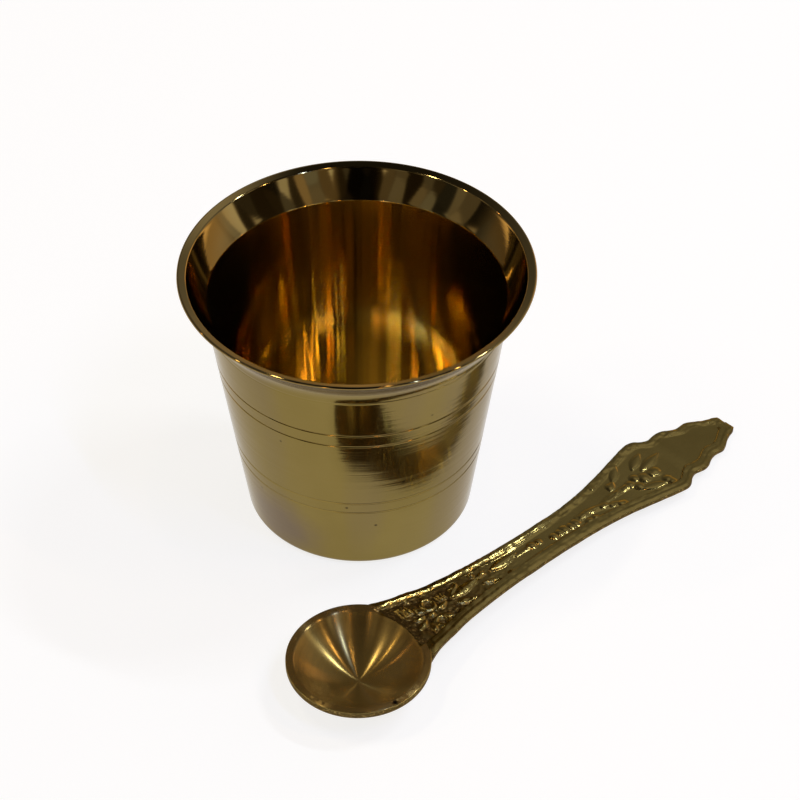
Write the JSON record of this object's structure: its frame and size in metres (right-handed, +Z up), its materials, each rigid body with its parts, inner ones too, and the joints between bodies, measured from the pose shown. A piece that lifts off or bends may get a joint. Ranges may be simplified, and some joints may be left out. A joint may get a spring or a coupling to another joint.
{
  "type": "ritual water cup with spoon",
  "caption": "Flared brass water cup turned on a lathe, with a loose cast spoon that has a round bowl and a relief-patterned handle with a scalloped end.",
  "frame": {"origin": "centre of the cup's flat base, on the table", "axes": "+Z up along the cup's axis, the spoon lies in front with its handle running to +X and +Y"},
  "size_m": [0.1246, 0.1134, 0.0635],
  "materials": {
    "turned_brass": "polished, turned",
    "cast_brass": "cast, lightly polished, darker in the recesses"
  },
  "bodies": {
    "cup": {"cup": "turned_brass"},
    "spoon": {"spoon": "cast_brass"}
  },
  "joints": [
    {"name": "spoon_lift", "type": "slide", "parent": "cup", "child": "spoon", "axis": [0, 0, 1], "range_m": [0, 0.1]}
  ]
}
